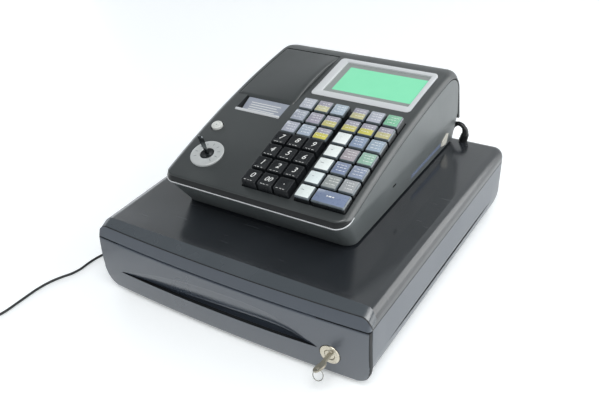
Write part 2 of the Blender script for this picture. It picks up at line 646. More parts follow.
def coil_path():
    """Two clockwise loops that spiral in on the table, half a turn that climbs a layer as 3t^2 - 2t^3, two
    loops that spiral out, and a straight lead to the plug."""
    loops, climb = 2 * COIL_STEPS, COIL_STEPS // 2
    k = np.arange(2 * loops + climb + 1)
    angle = -k / COIL_STEPS * FULL_TURN
    inner = COIL_RADIUS - 2 * COIL_PITCH
    radius = np.where(k <= loops, COIL_RADIUS - k / COIL_STEPS * COIL_PITCH,
                      inner + np.maximum(0, k - loops - climb) / COIL_STEPS * COIL_PITCH)
    layer = np.clip((k - loops) / climb, 0, 1)
    height = COIL_LOW + COIL_LAYER * layer ** 2 * (3 - 2 * layer)
    turns = np.column_stack([radius * np.cos(angle), radius * np.sin(angle), height])
    lead = turns[-1] - turns[-2]
    lead[2] = 0
    lead = turns[-1] + lead / np.linalg.norm(lead) * np.linspace(0, COIL_LEAD, 8)[1:, None]
    return np.concatenate([turns, lead]) + COIL_PLACE


coil_line = coil_path()
cord_line = np.concatenate([smooth_path(CORD_ROUTE, 520)[:-1], coil_line])
spacing = run_along(cord_line)
cord_length = spacing[-1]
# Two cores side by side under one skin, which turn slowly along the lead.
core = np.linspace(0, FULL_TURN, 20, endpoint=False)
twin_high = (TWIN_HALF - TWIN_HOLLOW * np.cos(core) ** 8) * np.sin(core)
twin = np.column_stack([CORD / 2 * np.cos(core), twin_high])
wind = np.interp(spacing, [0, 640, 700, 760, 790, 830, 860, cord_length], [0, 0, 1.4, 0.5, 0.0, 1.2, 0, 0])
lead = piece("mains_lead", "base", [(swept(cord_line, twin, wind), SHEATH)],
             ["power_cord", "cord_coil"])

relief_line = smooth_path(CORD_ROUTE[:7], 90)
relief_run = run_along(relief_line)
in_relief = relief_run < RELIEF
relief_radii = ribbed(relief_run[in_relief], [0, 2, RELIEF], [4.6, 4.4, 2.1], 2.1)
piece("strain_relief", "base", [(sleeve(relief_line[in_relief], relief_radii, 20), SHEATH)])


def plug_body():
    """Rounded sections whose half width and height follow the moulded body, y ahead from the cord's end."""
    share = np.linspace(0, 1, 15)
    places = [0, 0.1, 0.3, 0.75, 0.95, 1]
    wide = np.interp(share, places, [6.5, 9.5, 12.2, 13.5, 13.5, 12.6])
    high = np.interp(share, places, [4.8, 6.6, 8.2, 9.0, 9.0, 8.2])
    along = PLUG_START + PLUG_LENGTH * share
    return lofted([across(centred(w, h, min(w, h) * PLUG_ROUND), y) for y, w, h in zip(along, wide, high)])


def plug_neck():
    """The ribbed neck that widens from the cord to the plug's body."""
    run = np.linspace(0.3, 13, 24)
    radii = ribbed(run, [0, 12], [2.3, 4.2], 2.2)
    return lofted([across(circle(radius, 20), y) for y, radius in zip(run, radii)])


def plug_pin(x):
    """A flat pin, its half thickness less at the tip."""
    ends = ((44, 0.8), (61.5, 0.8), (63, 0.45))
    return lofted([across(centred(half, PIN_HALF, 0.5) + [x, 0], y) for y, half in ends])


end, before = coil_line[-1], coil_line[-2]
ahead = (end - before) / np.linalg.norm(end - before)
plug_turn = math.atan2(-ahead[0], ahead[1])
plug_parts = [(plug_body(), PLUG_LIFT, SHEATH), (plug_neck(), end[2], SHEATH),
              (plug_pin(-PIN_X), PLUG_LIFT, NICKELLED_PIN), (plug_pin(PIN_X), PLUG_LIFT, NICKELLED_PIN)]
plug = piece("mains_plug", "base", [
    (moved(form, (end[0], end[1], lift), plug_turn, ABOUT_Z), surface) for form, lift, surface in plug_parts
], ["power_plug"])

LINK = 5.2
LINK_ROUTE = [
    (97, 157.3, 93), (97.5, 159.6, 94.6), (99.2, 161.8, 98.2), (102.6, 163.4, 102.4), (107.6, 164, 104.6),
    (112.8, 163.6, 103.6), (116.6, 162.6, 99.6), (117.6, 161.8, 94.6), (116.6, 161.2, 89.6),
    (115.4, 160.8, 85.3),
]
BOOT = 17.0
link_line = smooth_path(LINK_ROUTE, 60)
link_run = run_along(link_line)
link_length = link_run[-1]
link_form = swept(link_line, circle(LINK / 2, 20))
link = piece("drawer_lead", "base", [(link_form, GLOSSY_SHEATH)], ["drawer_cable"])
boots = []
for reach in (link_run, link_length - link_run):
    near = reach < BOOT
    radii = np.interp(reach[near], [0, 9, 10, BOOT], [5.0, 4.5, 3.8, 2.9])
    boots.append((sleeve(link_line[near], radii, 24), GLOSSY_SHEATH))
piece("lead_boots", "base", boots)
tie = lofted([
    across(rounded(*grown(TIE_EDGES, -inset), TIE_CORNER - inset), y)
    for inset, y in ((0, -TIE_HALF), (0, TIE_HALF), (TIE_THICKNESS, TIE_HALF), (TIE_THICKNESS, -TIE_HALF))
], closed=True)
piece("coil_tie", "base", [(moved(tie, COIL_PLACE), RUBBER)])


# Drawer housing

def lip_top(x, skin):
    """The cover's lower crease at x: its depth and height, and the share of its height that is left, as it
    sinks towards both ends."""
    half = HALF_WIDTH - skin
    share = 1 - LIP_SINK * drawn_in(x, COVER_EDGE, half) / COVER_EDGE
    front = FRONT_CORNER + skin + drawn_in(x, LIP_CORNER, half) - FRONT_BOW * (1 - (x / HALF_WIDTH) ** 2)
    return front + LIP_LEAN * share, PARTING + (BAND_FOOT - PARTING) * share - skin, share


def cover_side(x, skin):
    """The cover's side outline at x. Its top falls by r - sqrt(r^2 - (r - d)^2) where the distance d to the
    plan's outline is under r, and the two creases of its front sink with it. The lower one is a groove."""
    half = HALF_WIDTH - skin
    lip_y, lip_z, share = lip_top(x, skin)
    rear = REAR_FACE - skin - drawn_in(x, REAR_CORNER, half)
    crease = (FRONT_CORNER + skin + drawn_in(x, LIP_CORNER, half) + LIP_LEAN
              + BAND_DEPTH * (BAND_LEAST + (1 - BAND_LEAST) * share))
    y = np.r_[np.linspace(crease, rear - REAR_CORNER, 30)[:-1], rear - REAR_CORNER * (1 - quarter(14))]
    beside, behind = REAR_CORNER - (half - abs(x)), REAR_CORNER - (REAR_FACE - skin - y)
    past = np.where((beside > 0) & (behind > 0), np.hypot(beside, behind), np.maximum(beside, behind))
    top = DRAWER_TOP - skin - round_off(COVER_EDGE - (REAR_CORNER - past), COVER_EDGE)
    foot = PARTING - (1 if skin else 0)
    lip = [(lip_y - LIP_LEAN * share, foot), (lip_y, max(lip_z, foot + 0.2))]
    if not skin:
        lip += [(lip_y + CREASE_WIDTH / 3, lip_z - CREASE_DEPTH * share),
                (lip_y + CREASE_WIDTH, lip_z + NEAR)]
    return np.concatenate([lip, np.column_stack([y, top]), [(rear, foot)]])


def cover_form(skin):
    """The cover as side outlines across it, closer together at its rounded sides."""
    side = HALF_WIDTH - skin - REAR_CORNER * (1 - quarter(24))
    x = np.r_[-side[::-1], np.linspace(-side[0], side[0], 40)[1:-1], side]
    return lofted([station(cover_side(place, skin), place) for place in x])


def ahead_of_crease(x, y, z):
    return y < FRONT_CORNER + LIP_LEAN + BAND_DEPTH - 0.3


def below_crease(x, y, z):
    return y < lip_top(x, 0)[0] - 0.01


def in_crease(x, y, z):
    lip_y, lip_z, _ = lip_top(x, 0)
    return (y > lip_y - 0.01) & (y < lip_y + CREASE_WIDTH - 0.02) & (z < lip_z + 0.1)


shell = cut("housing_cover", [(cover_form(0.0), WORN_TOP)], [(cover_form(WALL), INSIDE)])
painted(shell, BAND, ahead_of_crease)
painted(shell, HOUSING, below_crease)
painted(shell, INSIDE, in_crease)
piece("housing_cover", "base", shell, ["drawer_cover"], sharp=14, bevel=0.4)


def base_plan(side, front, rear):
    """The base's plan, drawn in from its widest: a rectangle with larger corners at the rear."""
    half = HALF_WIDTH - side
    low, high = FRONT_CORNER + front, REAR_FACE - rear
    left = arc(BASE_CORNER - half, low + BASE_CORNER, BASE_CORNER, 2, 8)
    right = arc(half - BASE_CORNER, low + BASE_CORNER, BASE_CORNER, 3, 8)
    rear_right = arc(half - REAR_CORNER, high - REAR_CORNER, REAR_CORNER, 0, 8)
    rear_left = arc(REAR_CORNER - half, high - REAR_CORNER, REAR_CORNER, 1, 8)
    return np.concatenate([
        left, np.linspace(left[-1], right[0], 62)[1:-1],
        right, np.linspace(right[-1], rear_right[0], 30)[1:-1],
        rear_right, rear_left, np.linspace(rear_left[-1], left[0], 30)[1:-1],
    ])


def base_form(skin):
    """The base's tub, rounded under below the side grooves and straight up from them to the parting line."""
    opening = OVERRUN if skin else 0.0
    front = PANEL_THICKNESS + FIT - opening
    foot = UNDERSIDE + (BASE_FLOOR if skin else 0)
    rings = []
    for share, inset in zip(TUCK_HEIGHTS, TUCK_INSETS):
        side, rear = (low + (high - low) * inset for low, high in (TUCK_SIDE, TUCK_REAR))
        rings.append(level(base_plan(side + skin, front, rear + skin), foot + (GROOVE_LINE - foot) * share))
    rings.append(level(base_plan(skin, front, skin), PARTING - SEAM + opening))
    return lofted(rings)


def groove(side):
    """A lens-shaped cutter along the side, its half height h (1 - s^4)."""
    share = np.linspace(-1, 1, 41)
    y = (GROOVE_FRONT + GROOVE_REAR) / 2 + share * (GROOVE_REAR - GROOVE_FRONT) / 2
    half = GROOVE_HALF * (1 - share ** 4)
    below, above = np.column_stack([y, GROOVE_LINE - half]), np.column_stack([y, GROOVE_LINE + half])
    lens = np.concatenate([below, above[-2:0:-1]])
    return lofted([station(lens, side * x) for x in (HALF_WIDTH - GROOVE_DEPTH, HALF_WIDTH + OVERRUN)])


def at_opening(x, y, z):
    """Picks the base's edges behind the drawer's front and under the cover."""
    return (y < FRONT_CORNER + PANEL_THICKNESS + FIT + NEAR) | (z > PARTING - SEAM - NEAR)


def four_feet(profile, sides, x_places, y_places, z):
    return [(moved(turned(profile, sides), (x, y, z)), RUBBER) for x in x_places for y in y_places]


tub = cut("housing_base", [(base_form(0.0), HOUSING)],
          [(base_form(WALL), INSIDE), (groove(1), INSIDE), (groove(-1), INSIDE)])
painted(tub, INSIDE, at_opening)
piece("housing_base", "base", tub, ["drawer_base"], sharp=30)
rails = []
for x in (-RAIL_X, RAIL_X):
    plan = rounded(x - RAIL_HALF, x + RAIL_HALF, FRONT_CORNER + RAIL_END, REAR_FACE - RAIL_END, 2)
    rails.append((slab(plan, RAIL_LOW, RAIL_HIGH, 0.8), INSIDE))
piece("housing_rails", "base", rails)
piece("housing_feet", "base",
      four_feet([(9, 3.8), (9, 0.8), (8.2, 0)], 40, (-FOOT_X, FOOT_X), (-FOOT_Y, FOOT_Y), 0))


# Drawer

def bulge(z):
    """How far the panel's face stands out at a height: 4 b s (1 - s)."""
    share = (z - PANEL_FOOT) / PANEL_HEIGHT
    return PANEL_BULGE * 4 * share * (1 - share)


def cove(x):
    """The finger recess at x: heights of the lower lip, of the slot's upper edge and of the arch above them,
    and its depth as a share of the depth in the middle. Lip and arch follow 1 - s^2 to the left, 1 - s^3 to
    the right."""
    left, right = COVE_MIDDLE - COVE_LEFT, COVE_RIGHT - COVE_MIDDLE
    share = np.clip((x - COVE_MIDDLE) / np.where(x < COVE_MIDDLE, left, right), -1, 1)
    full = 1 - np.abs(share) ** np.where(share < 0, 2, 3)
    line = COVE_LINE + COVE_SLOPE * (x - COVE_MIDDLE)
    low = line - COVE_DROP * full
    fade = 1 - np.clip(np.where(x > 0, x / SLOT_RIGHT, x / SLOT_LEFT), 0, 1) ** 5
    middle = low + SLOT_LIFT * full + np.maximum(SLOT_LEAST, SLOT_HEIGHT + SLOT_TAPER * x) * fade
    return low, middle, line + ARCH_LIFT + ARCH_RISE * full, full ** 0.6


def panel_places():
    """Where the panel's side outlines lie across it: closer at its sides, its corners and the recess's
    ends."""
    half = HALF_WIDTH - FIT
    wide = PANEL_CORNER[0]
    edge = np.array([0, 0.1, 0.25, 0.5, 0.85, 1.3, 1.9])
    corner = half - wide * (1 - quarter(16))[::-1]
    between = np.linspace(-half + wide, half - wide, 170)
    places = [-half + edge, -corner, between, corner, half - edge, COVE_LEFT + edge, COVE_RIGHT - edge]
    return np.unique(np.round(np.concatenate(places), 3))


def panel_margin(x, z):
    """How far inside its outline a point of the panel's face lies. The lower corners are parabolas,
    sqrt(p) + sqrt(q) = 1 of their width and height, and the distance to one is its value over its slope."""
    wide, tall = PANEL_CORNER
    beside, above = HALF_WIDTH - FIT - np.abs(x), z - PANEL_FOOT
    root_p, root_q = np.sqrt(np.clip(beside / wide, 1e-6, 1)), np.sqrt(np.clip(above / tall, 1e-6, 1))
    to_corner = (root_p + root_q - 1) / np.hypot(0.5 / (root_p * wide), 0.5 / (root_q * tall))
    inside = np.where((beside < wide) & (above < tall), to_corner, np.minimum(beside, above))
    return np.minimum(inside, (PANEL_TOP - z) * 1.6)


def panel_form():
    """The front panel as side outlines across it. Its face is a bow across and a bulge up. Below an arched
    edge the face rolls in as depth s^1.4, ends on a second edge, and under that a deep slot opens over the
    lower lip. Near the outline the face rolls back as r - sqrt(r^2 - (r - d)^2), with d the distance to
    it."""
    x = panel_places()
    half = HALF_WIDTH - FIT
    wide, tall = PANEL_CORNER
    beyond = np.clip((np.abs(x) - (half - wide)) / wide, 0, 1)
    foot = PANEL_FOOT + tall * (1 - np.sqrt(1 - beyond)) ** 2
    bow = FRONT_CORNER - FRONT_BOW * (1 - (x / half) ** 2)
    low, middle, high, scale = cove(x)
    below = np.r_[0, 0.004, 0.01, 0.02, 0.04, 0.07, np.linspace(0.1, 0.94, 9), 0.985, 1][:, None]
    dish = np.linspace(0, 1, 14)[:, None]
    above = np.r_[0.01, 0.03, np.linspace(0.1, 0.9, 11), 0.955, 0.975, 0.987, 0.994, 1][:, None]
    slot = np.array(SLOT_FLOOR + SLOT_ROOF)[..., None] * scale
    counted_from = np.array([low] * len(SLOT_FLOOR) + [middle] * len(SLOT_ROOF))
    slot_z = counted_from + slot[:, 1]
    z = np.concatenate([foot + (low - foot) * below, slot_z, middle + (high - middle) * dish,
                        high + (PANEL_TOP - high) * above])
    roll = DISH_DEPTH * (1 - dish) ** 1.4 + DISH_LIP * ((dish > 0) & (dish < 1))
    run = np.concatenate([0 * below * x, slot[:, 0], roll * scale, 0 * above * x])
    face = bow - bulge(z) + round_off(PANEL_EDGE - panel_margin(x, z), PANEL_EDGE) + run
    rise = np.linspace(0, 1, len(dish) + len(above))[:, None]
    hump_foot, hump_head = low - HUMP_FOOT * scale, middle + HUMP_HEAD * scale
    back_z = np.concatenate([foot + (hump_foot - foot) * below, counted_from + slot[:, 3],
                             hump_head + (PANEL_TOP - hump_head) * rise])
    back = np.concatenate([bow + 0 * below, bow - bulge(slot_z) + slot[:, 2],
                           bow - HUMP_START + HUMP_DEPTH * scale * (1 - rise)])
    back = np.maximum(back, bow + PANEL_BACK)
    x = np.broadcast_to(x, z.shape)
    outlines = np.concatenate([np.stack([x, face, z], -1), np.stack([x, back, back_z], -1)[::-1]])
    return lofted(outlines.transpose(1, 0, 2))


def in_slot(x, y, z):
    """Picks the slot's faces, which are those deep behind the lip and higher up behind the dish, and the
    panel's top."""
    _, middle, _, scale = cove(x)
    run = y - FRONT_CORNER + FRONT_BOW * (1 - (x / HALF_WIDTH) ** 2) + bulge(z)
    behind_lip = (run > 1.7 * scale + 0.4) & (z < middle) & (scale > 0)
    return behind_lip | (run > 5.8 * scale + 0.4) | (z > PANEL_TOP - NEAR)


face_at_lock = FRONT_CORNER - FRONT_BOW * (1 - (LOCK_X / HALF_WIDTH) ** 2) - bulge(LOCK_Z)
lock_place = np.array([LOCK_X, face_at_lock - LOCK_PROUD, LOCK_Z])


def facing_front(form, place):
    """A form drawn about z, turned so that its height runs back from the front, then moved."""
    return moved(form, place, -RIGHT_ANGLE)


bore = facing_front(disc(LOCK_RADIUS + FIT, -20, 30, 64), (LOCK_X, face_at_lock, LOCK_Z))
front_mesh = cut("drawer_front", [(panel_form(), HOUSING)], [(bore, INSIDE)])
painted(front_mesh, INSIDE, in_slot)
piece("drawer_front", "drawer", front_mesh, ["drawer_tray"], sharp=40)


def open_box(edges, low, high, wall, radius):
    """A box open above, as one surface: up the inside, over the rim and down the outside."""
    rim = wall / 4
    inner = rounded(*grown(edges, -wall), radius - wall)
    outer = rounded(*edges, radius)
    inner_rim = rounded(*grown(edges, rim - wall), radius - wall)
    outer_rim = rounded(*grown(edges, -rim), radius)
    return lofted([level(inner, low + wall), level(inner, high - rim), level(inner_rim, high),
                   level(outer_rim, high), level(outer, high - rim), level(outer, low)])


tray_edges = (-TRAY_HALF, TRAY_HALF, FRONT_CORNER + 1, FRONT_CORNER + TRAY_LENGTH)
box = open_box(tray_edges, TRAY_FLOOR, TRAY_FLOOR + TRAY_HEIGHT, TRAY_WALL, TRAY_CORNER)
piece("drawer_box", "drawer", [(box, HOUSING)], ["drawer_tray"])

keyway = PLUG_RADIUS + FIT
lock = turned([(keyway, 0.6), (keyway + 0.4, 0.1), (8.2, 0), (9.4, 0.15), (10.2, 0.5), (LOCK_RADIUS, 1.4),
               (LOCK_RADIUS, LOCK_LENGTH), (keyway, LOCK_LENGTH)], 56, closed=True)
piece("lock_barrel", "drawer", [(facing_front(lock, lock_place), NICKEL)], ["drawer_lock"])


def key_bow():
    """The outline of the key's bow in (x, y), y ahead: most of a circle, closed by a neck as wide as the
    blade."""
    turn = np.linspace(-1.05, math.pi + 1.05, 36)
    bow = KEY_BOW_RADIUS * np.column_stack([np.cos(turn), np.sin(turn)]) + [0, KEY_BOW_PLACE]
    return np.concatenate([[(BLADE_HALF, 8.5)], bow, [(-BLADE_HALF, 8.5)]])


def pierced_plate(outline, hole_middle, hole_radius, thickness, count=48):
    """A plate with a round hole: the outline and the hole read at equal steps along the outline, and joined
    by one surface over the front, the outside, the back and the hole's wall."""
    closed = np.concatenate([outline, outline[:1]])
    run = run_along(closed)
    at = np.linspace(0, run[-1], count, endpoint=False)
    rim = np.column_stack([np.interp(at, run, closed[:, 0]), np.interp(at, run, closed[:, 1])])
    angle = np.arctan2(rim[:, 1] - hole_middle[1], rim[:, 0] - hole_middle[0])
    hole = hole_middle + hole_radius * np.column_stack([np.cos(angle), np.sin(angle)])
    half, ease = thickness / 2, 0.3
    inset = rim + (np.array(hole_middle) - rim) * 0.03
    rows = [(hole, -half), (hole, half), (inset, half),
            (rim, half - ease), (rim, ease - half), (inset, -half)]
    return lofted([level(plan, z) for plan, z in rows], closed=True)


def in_lock(form):
    """A form of the key, drawn ahead along y and flat in z, pointed out of the lock and leant over."""
    return moved(moved(form, angle=math.pi), lock_place, -KEY_LEAN, ABOUT_Y)


bow_plate = pierced_plate(key_bow(), KEY_HOLE_PLACE, KEY_HOLE_RADIUS, 1.7)
blade = slab(rounded(-BLADE_HALF, BLADE_HALF, -6.5, 10.5, 0.6), -0.75, 0.75, 0.2)
key_plug = turned([(0.05, 0.3), (2.6, 0.3), (PLUG_RADIUS - 0.4, 0.35), (PLUG_RADIUS, 0.8),
                   (PLUG_RADIUS, LOCK_LENGTH), (0.05, LOCK_LENGTH)])
# The wire ring hangs from the hole: an oval that leans, a sin t, b sin t, c cos t.
turn = np.linspace(0, FULL_TURN, 48, endpoint=False)
oval = np.column_stack([4.2 * np.sin(turn), 2.0 * np.sin(turn), 7.2 * np.cos(turn)])
ring_path = lock_place + [-0.4, -20, -7.6] + oval
piece("drawer_lock_key", "drawer_key", [
    (facing_front(key_plug, lock_place), NICKEL), (in_lock(bow_plate), NICKEL_SILVER),
    (in_lock(blade), NICKEL_SILVER), (swept(ring_path, circle(0.55, 10), closed=True), STEEL),
], ["drawer_key"])


# Case

def parting_at(y):
    """Height of the line where the case's halves part: h + s r - b r^2."""
    run = y - LINE_PLACE
    return LINE_HEIGHT + LINE_SLOPE * run - LINE_BEND * run ** 2


def crown_at(y):
    return parting_at(y) + SKIRT


def arch_top(y, drop):
    """Height of the lower case's rim: the parting line, and behind the arch's start a quarter that falls by
    r t^2 where y = front + reach (2t - t^2), all lowered by drop."""
    reach = REAR_FOOT - HOOD_DEPTH - drop - ARCH_FRONT
    share = 1 - np.sqrt(np.clip(1 - (y - ARCH_FRONT) / reach, 0, 1))
    return np.where(y < ARCH_FRONT, parting_at(y), parting_at(ARCH_FRONT) - REAR_ROUND * share ** 2) - drop


def crown_side(drop, drawn):
    """The upper case's side outline, its top lowered by drop and its ends drawn in for the corners. A band
    slopes down from its front crease to the parting line."""
    behind = min(drawn, HOOD_DEPTH - 3)
    radius = REAR_ROUND - drop
    centre = np.array([REAR_TOP - behind - radius, crown_at(CROWN_REAR) - REAR_ROUND])
    rear = np.column_stack([np.linspace(REAR_FOOT, REAR_TOP, 8) - behind,
                            np.linspace(HOOD_FOOT, centre[1], 8)])
    outside = np.concatenate([rear[:-1], arc(*centre, radius, 0, 13)])
    front = CASE_FRONT + drawn
    y = np.linspace(centre[0], front + EDGE_START, 90)[1:]
    top = np.column_stack([y, crown_at(y) - drop])
    lead_in = outside[-1, 1] - top[0, 1]
    top[:, 1] += lead_in * np.clip(1 - (centre[0] - y) / REAR_ROUND, 0, 1) ** 2
    foot = np.array([front, parting_at(front)])
    crease = np.array([front + CREASE_BACK, crown_at(front + CREASE_BACK) - drop])
    edge = bent(top[-1], crease, crease + (foot - crease) * 0.2, 7)
    y = np.linspace(front, ARCH_FRONT, 60)
    line = np.column_stack([y, parting_at(y)])
    inner, high = REAR_FOOT - HOOD_DEPTH, parting_at(ARCH_FRONT)
    arch = bent((ARCH_FRONT, high), (inner, high), (inner, high - REAR_ROUND), 14)
    arch = np.concatenate([arch, [(inner, HOOD_FOOT)]])
    arch[:, 0] = np.minimum(arch[:, 0], np.interp(arch[:, 1], outside[:, 1], outside[:, 0]) - HOOD_WALL)
    above = np.concatenate([outside, top[:40]])[::-1]
    arch[:, 1] = np.minimum(arch[:, 1], np.interp(arch[:, 0], above[:, 0], above[:, 1]) - SKIRT_LEAST)
    return np.concatenate([outside, top, edge, line, arch])


def crown_form():
    """The upper case: side outlines across it. Over its last millimetres the top falls as a quarter circle,
    and over more of them the corners round its front and rear."""
    right = []
    for x in CASE_HALF - CASE_CORNER * (1 - quarter(18)):
        drop = min(drawn_in(x, CASE_EDGE, CASE_HALF), SKIRT - SKIRT_LEAST)
        right.append(station(crown_side(drop, drawn_in(x, CASE_CORNER, CASE_HALF)), x))
    left = [ring * [-1, 1, 1] for ring in right]
    return lofted(left[::-1] + right)


def column_x(column):
    return column * KEY_PITCH + (BLOCK_GAP if column >= 3 else 0)


def on_keyboard(form):
    return moved(form, KEY_PLACE, KEY_TILT)


def on_display(form):
    return moved(form, DISPLAY_PLACE, DISPLAY_TILT)


def on_panel(form, place):
    """A form at an (x, y) on the case's top, tilted as the keyboard is."""
    return moved(form, (*place, crown_at(place[1])), KEY_TILT)


def well(block):
    """The hollow under a block of three columns of keys."""
    reach = KEY_WIDTH / 2 + WELL_GAP
    left, right = column_x(block * 3) - reach, column_x(block * 3 + 2) + reach
    outline = rounded(left, right, -(len(LABELS) - 1) * KEY_PITCH - reach, reach, WELL_CORNER)
    return on_keyboard(slab(outline, WELL_FLOOR, ABOVE_KEYS))


def in_front_band(x, y, z):
    return (y < CASE_FRONT + FRONT_BAND + drawn_in(x, CASE_CORNER, CASE_HALF)) & (z < crown_at(y) - 1)


pocket_plan = centred(DISPLAY_HALF[0] + FIT, DISPLAY_HALF[1] + FIT, POCKET_CORNER)
pocket = on_display(slab(pocket_plan, POCKET_FLOOR, ABOVE_DISPLAY))
bay = slab(rounded(*grown((BAY_LEFT, BAY_RIGHT, COVER_FRONT, BAY_REAR), FIT), 1.2), BAY_FLOOR, ABOVE_CASE)
window = slab(rounded(WINDOW_LEFT, WINDOW_RIGHT, WINDOW_FRONT, COVER_FRONT + 2, 0.8),
              BAY_FLOOR - 1, ABOVE_CASE + 1)
hollows = [well(0), well(1), pocket, bay, window]
for radius, place in ((MODE_BORE, MODE_PLACE), (FEED_BORE, FEED_PLACE)):
    hollows.append(on_panel(disc(radius, -BORE_REACH, BORE_REACH), place))
crown = cut("upper_shell", [(crown_form(), SHELL)], [(hollow, INSIDE) for hollow in hollows])
painted(crown, DARK_BAND, in_front_band)
piece("upper_shell", "base", crown, ["upper_case"], sharp=30)


def fall_at(z):
    """How far down a point of the lower case lies between its front corner's height and its foot, 0 to 1."""
    corner = parting_at(CASE_FRONT)
    return np.clip((corner - z) / (corner - CASE_FOOT), 0, 1)


def lower_form():
    """The lower case as one surface: rows up its outside to the parting line, over the rim and down the
    inside. Below its front corner's height it draws in. Its rear corners are tighter than its front ones."""
    edges = grown((-CASE_HALF, CASE_HALF, CASE_FRONT, CASE_REAR), -FIT)
    plan = np.concatenate([rounded(*edges, CASE_CORNER, 14)[:30], rounded(*edges, TUB_REAR_CORNER, 14)[30:]])
    plan = denser(np.concatenate([plan, plan[:1]]), 4)
    top = arch_top(plan[:, 1], GAP)
    middle = (CASE_FRONT + CASE_REAR) / 2
    ahead = np.clip((middle - plan[:, 1]) / (middle - CASE_FRONT), 0, 1)

    def row(share, skin):
        foot = CASE_FOOT + skin
        z = foot + (top - foot) * share
        x = plan[:, 0] * (1 - (skin + TUB_SIDE * fall_at(z)) / CASE_HALF)
        y = middle + (plan[:, 1] - middle) * (1 - skin / (CASE_REAR - middle))
        return np.column_stack([x, y + TUB_FRONT * fall_at(z) * ahead, z])

    return lofted([row(share, 0) for share in np.linspace(0, 1, 22)]
                  + [row(share, CASE_WALL) for share in np.linspace(1, 0, 10)])


def at_rim(x, y, z):
    return z > arch_top(y, GAP) - 0.3


def on_side(outline, thick):
    """A flat form of (y, z) on the lower case's right side, which draws in towards its foot."""
    y, z = np.asarray(outline, float).T
    side = (CASE_HALF - FIT) * (1 - TUB_SIDE * fall_at(z) / CASE_HALF)
    return lofted([np.column_stack([side + out, y, z]) for out in (SUNK, thick)])


def trim_line():
    """A silver strip in the parting, round the front and ending behind both corners. Its thin section follows
    the parting line's plan and height."""
    front = rounded(-CASE_HALF, CASE_HALF, CASE_FRONT, CASE_REAR, CASE_CORNER, 12)[:26]
    behind = CASE_FRONT + CASE_CORNER + TRIM_PAST_CORNER
    path = np.concatenate([[(-CASE_HALF, behind)], front, [(CASE_HALF, behind)]])
    path = np.concatenate([denser(path, 3), path[-1:]])
    return swept(level(path, parting_at(path[:, 1]) - TRIM_BELOW_LINE), centred(*TRIM_SECTION, 2))


notch = slab(rounded(*NOTCH_EDGES, 0.8), NOTCH_LOW, NOTCH_HIGH)
lower = cut("lower_shell", [(lower_form(), SIDES)], [(notch, INSIDE)])
painted(lower, INSIDE, at_rim)
piece("lower_shell", "base", lower, ["lower_case"], sharp=30)
strip = on_side(rounded(*STRIP_EDGES, 0.6), STRIP_THICKNESS)
piece("side_label", "base", [(strip, TAPE), (on_side(CLIP_OUTLINE, CLIP_THICKNESS), CREAM)])
piece("case_feet", "base",
      four_feet([(6, 2.6), (6, 0.6), (5.4, 0.3)], 28, (-CASE_FOOT_X, CASE_FOOT_X), CASE_FOOT_Y, DRAWER_TOP))
gland = facing_front(turned([(5, -2), (5, 5.6), (4.6, 7)], 32), GLAND_PLACE)
piece("cord_gland", "base", [(gland, SHEATH)])
piece("silver_line", "base", [(trim_line(), LACQUER)])


# Keyboard

def printed(text, size, place):
    """Characters as a thin raised print, made a mesh, in millimetres about a place on a key's top."""
    curve = bpy.data.curves.new("print", "FONT")
    curve.body, curve.size, curve.align_x, curve.align_y = text, size, "CENTER", "CENTER"
    curve.shear, curve.extrude, curve.resolution_u = PRINT_SLANT, PRINT_HEIGHT / 2, 3
    holder = bpy.data.objects.new("print", curve)
    mesh = holder.to_mesh()
    points = np.empty(len(mesh.vertices) * 3)
    mesh.vertices.foreach_get("co", points)
    faces = [list(face.vertices) for face in mesh.polygons]
    bpy.data.objects.remove(holder)
    return points.reshape(-1, 3) + place, faces


def cap_rings(extra, top, sag):
    """A key from its stem to its top: a square stem, a tapered skirt, a rounded upper edge, and rings that
    shrink to the middle and sink as sag (1 - r^2)."""
    wide = extra / 2
    rows = [(KEY_WIDTH / 2, 1.1, -KEY_DROP), (KEY_WIDTH / 2 - 0.1, 1.1, -KEY_DROP + 0.4),
            (KEY_TOP / 2 + 0.08, 1, top - 0.9), (KEY_TOP / 2 - 0.04, 1, top - 0.4),
            (KEY_TOP / 2 - 0.25, 1, top - 0.1)]
    stem = centred(STEM_HALF, STEM_HALF, STEM_CORNER)
    rings = [level(stem, WELL_FLOOR - STEM_LENGTH), level(stem, -KEY_DROP)]
    rings += [level(centred(half + wide, half, radius), z) for half, radius, z in rows]
    face = centred(KEY_TOP / 2 - 0.5 + wide, KEY_TOP / 2 - 0.5, 1)
    shares = (1.0, 0.8, 0.55, 0.3, 0.08)
    return rings + [level(face * share, top - sag * (1 - share ** 2)) for share in shares]


def key_marks(name, seed):
    """Plain marks that stand for print on a label: rows of short dashes, whose lengths follow the key's
    place."""
    marks = []
    tall = 0.7 if name == WIDE else 0.3
    for k, y in enumerate((1.2,) if name == WIDE or name in PLAIN else (3.9, 0.6, -3.4)):
        start = -5.2 + (seed * 3 + k * 5) % 4 * 0.7
        for n in range(1 if name in PLAIN else 3):
            length = 1.4 + (seed * 7 + k * 5 + n * 3) % 5 * 0.55
            marks.append(rounded(start, start + length, y - tall, y + tall, 0.2, 2))
            start += length + 0.9
    return marks


def label_part(left, right, front, rear, radius, tone):
    outline = rounded(left, right, front, rear, radius, 3)
    return slab(outline, LABEL_LOW, LABEL_TOP, 0.02, 1), label_paper(tone)


def key_parts(parts, row, column, extra=0.0):
    """A key's forms, drawn about the middle of its top, at the key's place on the keyboard."""
    middle = (column_x(column) + extra / 2, -row * KEY_PITCH, 0)
    return [(on_keyboard(moved(form, middle)), surface) for form, surface in parts]


